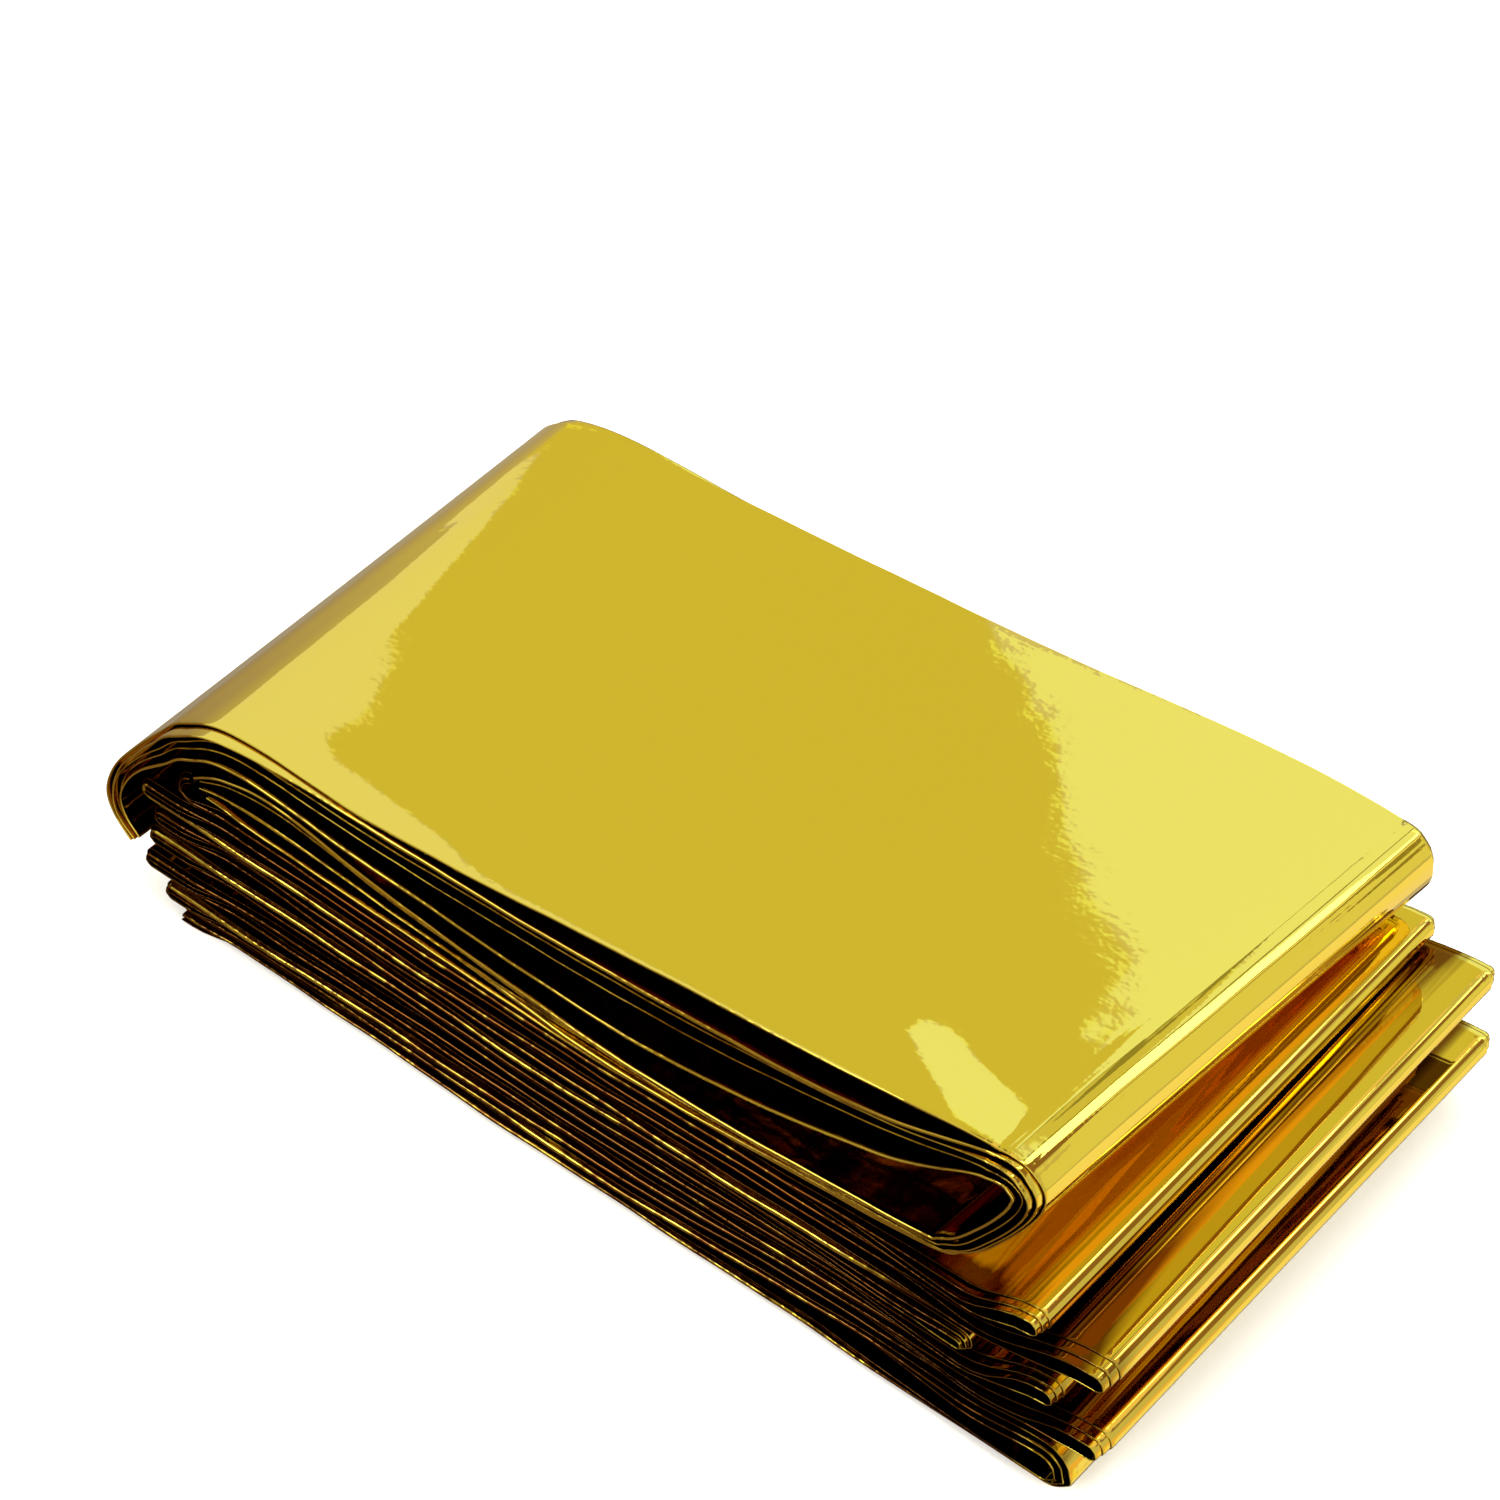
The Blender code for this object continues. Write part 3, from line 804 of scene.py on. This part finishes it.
def upper_ridges(rows, u):
    """Depths, set-backs, heights, radii and shade of the upper strip's ridges, u along it."""
    depths = rows[:, 3:3 + UPPER_RIDGES]
    backs = rows[:, 3 + UPPER_RIDGES:].copy()
    for ridge in range(UPPER_RIDGES):
        backs[:, ridge] += UPPER_WANDER * (1.0 + smooth_wave(u, "upper set-back", ridge))
    heights, radii, shades = (np.tile([row[k] for row in UPPER_RIDGE_TABLE], (len(rows), 1))
                              for k in range(3))
    gaps = np.diff(depths, axis=1)
    above = [max(k - 1, 0) for k in range(UPPER_RIDGES)]
    below = [min(k, UPPER_RIDGES - 2) for k in range(UPPER_RIDGES)]
    room = RIDGE_SHARE * np.minimum(gaps[:, above], gaps[:, below])
    radii *= np.minimum(1.0, room / heights)
    heights = np.minimum(heights, room)
    return depths + heights / 2, np.clip(backs, 0.0, None), heights, radii, shades


def nearest(near, name):
    """Number of the near centre line's point that is nearest to a row of UPPER_LINE."""
    place = next(row[1:3] for row in UPPER_LINE if row[0] == name)
    return np.argmin(np.abs(near - place).sum(axis=1))


def inner_shade(near, u, past_lip, columns):
    """Shade on the inner face: in the hollow, in the eye of the big fold and behind the lap."""
    dip, arch, bend = (u[nearest(near, name)]
                       for name in ("top run, dip", "second run, arch", "left bend, high"))
    hollow = ease((u - dip) / HOLLOW_FADE) * ease((arch - u) / HOLLOW_FADE)
    eye = ease(EYE_LEVEL - np.abs(past_lip - EYE_MIDDLE) / EYE_FADE)
    lap = ease((bend - u) / LAP_FADE)
    inner = np.array([layer == 2 * UPPER_RIDGES - 1 for layer, _ in columns])
    inward = ease(np.array([t for _, t in columns]) / INNER_EDGE)
    shade = HOLLOW_SHADE * hollow + EYE_SHADE * eye + LAP_SHADE * lap
    return shade[:, None] * (inner * inward)


def upper_run():
    """Film of the lap, the top run, the big fold and the second run."""
    size = bpy.context.scene.foil_sizes
    near_rows = upper_line(0.0, size.upper_step)
    near, far = near_rows[:, :2], upper_line(1.0, size.upper_step)[:, :2]
    u = distances(near)
    past_lip = u - u[nearest(near, "big fold, lip")]
    columns = layer_path(2 * UPPER_RIDGES, OUTER_COLUMNS, INNER_COLUMNS)
    points, crinkle, shade = film_points(near, far, near_rows[:, 2], upper_ridges(near_rows, u),
                                         columns, past_lip)
    shade += inner_shade(near, u, past_lip, columns)
    piece = grid_mesh("foil_upper_run", points, crinkle, shade)
    finish_piece(piece, gold_film("gold_polyester_film_loose", *LOOSE_FINISH))


def strand_boldness(x, run):
    """How boldly the strand stands out at x, where run counts runs and folds from run 3."""
    upper = np.clip(np.floor(run), 0, len(STRANDS) - 1).astype(int)
    lower = np.clip(np.ceil(run), 0, len(STRANDS) - 1).astype(int)
    bold = np.array([np.interp(x, STRAND_X, row[1:]) for row in STRANDS])
    each = np.arange(len(x))
    return (bold[upper, each] + bold[lower, each]) / 2


def fold_values(run, *names):
    """Number of the right fold that each point's run leads to, and values of its table row."""
    fold = np.clip(run // 2, 0, len(RIGHT_FOLDS) - 1).astype(int)
    columns = [FOLD_COLUMNS.index(name) for name in names]
    return fold, *(np.array([row[k] for row in RIGHT_FOLDS])[fold] for k in columns)


def ridge_form(number, grown, bold, u):
    """Height, radius and shade of a lower run's ridge away from its folds."""
    if number != BOLD:
        mean, change = THIN_SHADE
        return THIN_HEIGHT, THIN_RADIUS, mean + change * smooth_wave(u, "lower shade", number)
    height, radius = (faint + gain * grown for faint, gain in (BOLD_HEIGHT, BOLD_RADIUS))
    return height, radius, BOLD_SHADE[0] + BOLD_SHADE[1] * (1.0 - bold)


def lower_ridges(x, run, u):
    """Depths, set-backs, heights, radii and shade of a lower run's ridges, u along the strip."""
    _, reach, film, hollow, slide = fold_values(run, "near reach", "film", "hollow", "slide")
    left = ease((LEFT_START - x) / LEFT_LENGTH)
    nose = ease((x - reach + NOSE_START) / NOSE_LENGTH)
    eye = ease((x - reach + hollow + EYE_START) / (EYE_SHARE * hollow))
    lit = ease((x - reach + LIT_START) / LIT_LENGTH)
    bold = strand_boldness(x, run)
    grown = bold * (1.0 + LEFT_GAIN * left)
    ridges = []
    for k, (depth, wander, back, nose_back, left_back, share) in enumerate(LOWER_RIDGE_TABLE):
        height, radius, dim = ridge_form(k, grown, bold, u)
        loose = depth + wander * smooth_wave(u, "lower depth", k)
        behind = (back + FAINT_BACK * (1.0 - bold)
                  + LOOSE_BACK * (1.0 + smooth_wave(u, "lower set-back", k)))
        behind = (behind * (1.0 - nose) * (1.0 - left) + nose_back * slide * nose
                  + left_back * left)
        ridges.append((blend(loose, film * share, eye), np.clip(behind, 0.0, None),
                       blend(height, NOSE_HEIGHT, nose), blend(radius, NOSE_RADIUS, nose),
                       dim * (1.0 - lit)))
    return tuple(np.stack(part, axis=1) for part in zip(*ridges))


def fold_top_shade(x, run):
    """Shade on the top of each right fold, from some way behind its tip to just short of it."""
    fold, reach, shade = fold_values(run, "near reach", "shade")
    return (shade * (run <= 2 * fold) * ease((x - reach + TOP_SHADE_START) / TOP_SHADE_FADE)
            * ease((reach - TOP_SHADE_END - x) / TOP_SHADE_FADE))


def lower_runs(name, first, last):
    """Film of the pressed runs from first to last, counted from run 3 as 0."""
    size = bpy.context.scene.foil_sizes
    near_rows = lower_line(0.0, UPPER_LINE[-1][2], size.lower_step)
    far_rows = lower_line(1.0, UPPER_LINE[-1][4], size.lower_step)
    inside = (near_rows[:, 2] >= first - 0.5) & (near_rows[:, 2] <= last)
    if last < len(LOWER_RUNS) - 1:
        # The first point of the next piece, so that the film goes on without a gap.
        inside[np.flatnonzero(inside)[-1] + 1] = True
    u = distances(near_rows[:, :2])[inside]
    near, far, run = near_rows[inside, :2], far_rows[inside, :2], near_rows[inside, 2]
    x = near[:, 0]
    columns = layer_path(2 * LOWER_RIDGES, OUTER_COLUMNS, INNER_COLUMNS)
    points, crinkle, shade = film_points(near, far, np.full(len(near), LOWER_THICKNESS),
                                         lower_ridges(x, run, u), columns)
    flames = FLAME_SHADE * ease((x - FLAME_START) / FLAME_LENGTH)[:, None]
    shade += flames * np.exp(-np.array([t for _, t in columns]) / FLAME_WIDTH)
    shade += fold_top_shade(x, run)[:, None]
    piece = grid_mesh(name, points, crinkle, shade)
    finish_piece(piece, gold_film("gold_polyester_film_" + name, *PRESSED_FINISH))


# ----------------------------------------------------------------------- stage
def direction(azimuth, elevation):
    """Unit vector at a compass direction: azimuth 0 is +Y, 90 is +X."""
    a, e = math.radians(azimuth), math.radians(elevation)
    return (math.sin(a) * math.cos(e), math.cos(a) * math.cos(e), math.sin(e))


def flat_sheet(name, corners, material):
    """Flat sheet with these corners and this material."""
    mesh = bpy.data.meshes.new(name)
    mesh.from_pydata(corners, [], [tuple(range(len(corners)))])
    mesh.materials.append(material)
    return add_object(name, mesh)


def card(name, radiance, distance, corners):
    """Lit card or dim flag, its corners given as azimuth and elevation seen from the packet.

    Its material only shines, evenly, so it shows in the film as a plain bright or dim field.
    """
    material, tree, _ = add_material(name)
    tree.nodes.clear()
    light = add_node(tree, "ShaderNodeEmission", None, {"Color": (*radiance, 1.0), "Strength": 1.0})
    add_node(tree, "ShaderNodeOutputMaterial", None, {"Surface": light.outputs["Emission"]})
    places = [[distance * c for c in direction(*corner)] for corner in corners]
    piece = flat_sheet(name, places, material)
    piece.visible_camera = False


def fill_light(name, place, size, power):
    """Wide soft light that points at the packet. The film doesn't mirror it."""
    lamp = bpy.data.lights.new(name, "AREA")
    lamp.shape = "DISK"
    lamp.size = size
    lamp.energy = power
    light = add_object(name, lamp)
    light.location = place
    light.rotation_euler = (-Vector(place)).to_track_quat("-Z", "Y").to_euler()
    light.visible_glossy = False


def floor():
    """Matt white board as the floor: pale and even, with no gloss, only the packet's shadow.

    The film doesn't mirror it, but the room's light from below.
    """
    material, tree, shader = add_material("matt_white_board")
    set_inputs(tree, shader, {"Base Color": linear_colour(bpy.context.scene.foil_look.floor),
                              "Roughness": FLOOR_ROUGHNESS})
    half = FLOOR_HALF
    corners = [(-half, -half, 0.0), (half, -half, 0.0), (half, half, 0.0), (-half, half, 0.0)]
    piece = flat_sheet("studio_floor", corners, material)
    piece.location.z = -FLOOR_DROP
    piece.visible_glossy = False


def world():
    """Room light: even, but for a dim warm part low in front of the packet at the left."""
    scene = bpy.context.scene
    scene.world = bpy.data.worlds.new("studio_room")
    scene.world.use_nodes = True
    tree = scene.world.node_tree
    coords = add_node(tree, "ShaderNodeTexCoord")
    along = add_node(tree, "ShaderNodeVectorMath", {"operation": "DOT_PRODUCT"},
                     {0: coords.outputs["Generated"], 1: DIM_DIRECTION})
    share = add_node(tree, "ShaderNodeMapRange", {"interpolation_type": "SMOOTHSTEP"},
                     {"Value": along.outputs["Value"], "From Min": DIM_RANGE[0],
                      "From Max": DIM_RANGE[1]})
    colour = add_node(tree, "ShaderNodeMix", {"data_type": "RGBA"},
                      {"Factor": share.outputs["Result"], 6: (*ROOM, 1.0), 7: (*DIM_ROOM, 1.0)})
    tree.links.new(colour.outputs[2], tree.nodes["Background"].inputs["Color"])


def camera():
    """Camera at the photo's viewing angle."""
    data = bpy.data.cameras.new("camera")
    data.lens = CAMERA_LENS
    data.sensor_width = CAMERA_SENSOR
    data.clip_start = CAMERA_CLIP
    view = add_object("camera", data)
    view.location = [c * MM for c in CAMERA_PLACE]
    view.rotation_euler = (math.radians(90.0 - CAMERA_ELEVATION), 0.0,
                           math.radians(CAMERA_AZIMUTH))
    bpy.context.scene.camera = view


def stage():
    """Floor, room light, lit cards and camera."""
    floor()
    world()
    for row in FILL_LIGHTS:
        fill_light(*row)
    for row in CARDS:
        card(*row)
    camera()
    scene = bpy.context.scene
    scene.view_settings.view_transform = "Standard"
    scene.cycles.max_bounces = BOUNCES
    scene.cycles.glossy_bounces = BOUNCES


# ---------------------------------------------------------------------- add-on
class FoilSizes(bpy.types.PropertyGroup):
    """Sizes of the film's folds, in millimetres."""
    upper_step: FloatProperty(name="Upper step", default=0.9, min=0.4,
                              description="Length of a facet of the upper strip")
    lower_step: FloatProperty(name="Lower step", default=1.8, min=0.6,
                              description="Length of a facet of the lower runs")


class FoilLook(bpy.types.PropertyGroup):
    """Colours and gloss of the film and its stage."""
    gold: StringProperty(name="Gold", default="#EED445",
                         description="Colour of the film, as an sRGB hex code")
    # Painted shade: brown is painted on the film where its own layers shade it, and deep brown deep
    # in the folds, in the hollow and behind the lap.
    brown: StringProperty(name="Brown", default="#7E5528",
                          description="Colour of the film in its own shade, as an sRGB hex code")
    deep: StringProperty(name="Deep brown", default="#2A140C",
                         description="Colour of the film deep in a fold, as an sRGB hex code")
    roughness: FloatProperty(name="Roughness", default=0.035, min=0.0, max=1.0,
                             description="Roughness of the metal coat")
    floor: StringProperty(name="Floor", default="#F4F4F3",
                          description="Colour of the floor, as an sRGB hex code")


class FOIL_OT_upper_run(bpy.types.Operator):
    """Build the film of the top run, its big fold and its lap"""
    bl_idname = "foil.upper_run"
    bl_label = "Upper run"

    def execute(self, context):
        upper_run()
        return {"FINISHED"}


class FOIL_OT_lower_runs(bpy.types.Operator):
    """Build the film of the twelve pressed runs below"""
    bl_idname = "foil.lower_runs"
    bl_label = "Lower runs"

    def execute(self, context):
        lower_runs("foil_middle_runs", 0, 5)
        lower_runs("foil_lower_runs", 6, 11)
        return {"FINISHED"}


class FOIL_OT_stage(bpy.types.Operator):
    """Set the floor, the light and the camera"""
    bl_idname = "foil.stage"
    bl_label = "Stage"

    def execute(self, context):
        stage()
        return {"FINISHED"}


class FOIL_PT_panel(bpy.types.Panel):
    """Settings and steps of the foil blanket"""
    bl_label = "Foil blanket"
    bl_idname = "FOIL_PT_panel"
    bl_space_type = "VIEW_3D"
    bl_region_type = "UI"
    bl_category = "Foil blanket"

    def draw(self, context):
        for group in (context.scene.foil_sizes, context.scene.foil_look):
            for name in group.__annotations__:
                self.layout.prop(group, name)
        for operator in OPERATORS:
            self.layout.operator(operator.bl_idname)


OPERATORS = (FOIL_OT_upper_run, FOIL_OT_lower_runs, FOIL_OT_stage)
CLASSES = (FoilSizes, FoilLook, *OPERATORS, FOIL_PT_panel)


def register():
    for item in CLASSES:
        bpy.utils.register_class(item)
    bpy.types.Scene.foil_sizes = PointerProperty(type=FoilSizes)
    bpy.types.Scene.foil_look = PointerProperty(type=FoilLook)


def unregister():
    del bpy.types.Scene.foil_look
    del bpy.types.Scene.foil_sizes
    for item in reversed(CLASSES):
        bpy.utils.unregister_class(item)


def main():
    register()
    for step in (bpy.ops.foil.upper_run, bpy.ops.foil.lower_runs, bpy.ops.foil.stage):
        step()


if __name__ == "__main__":
    main()
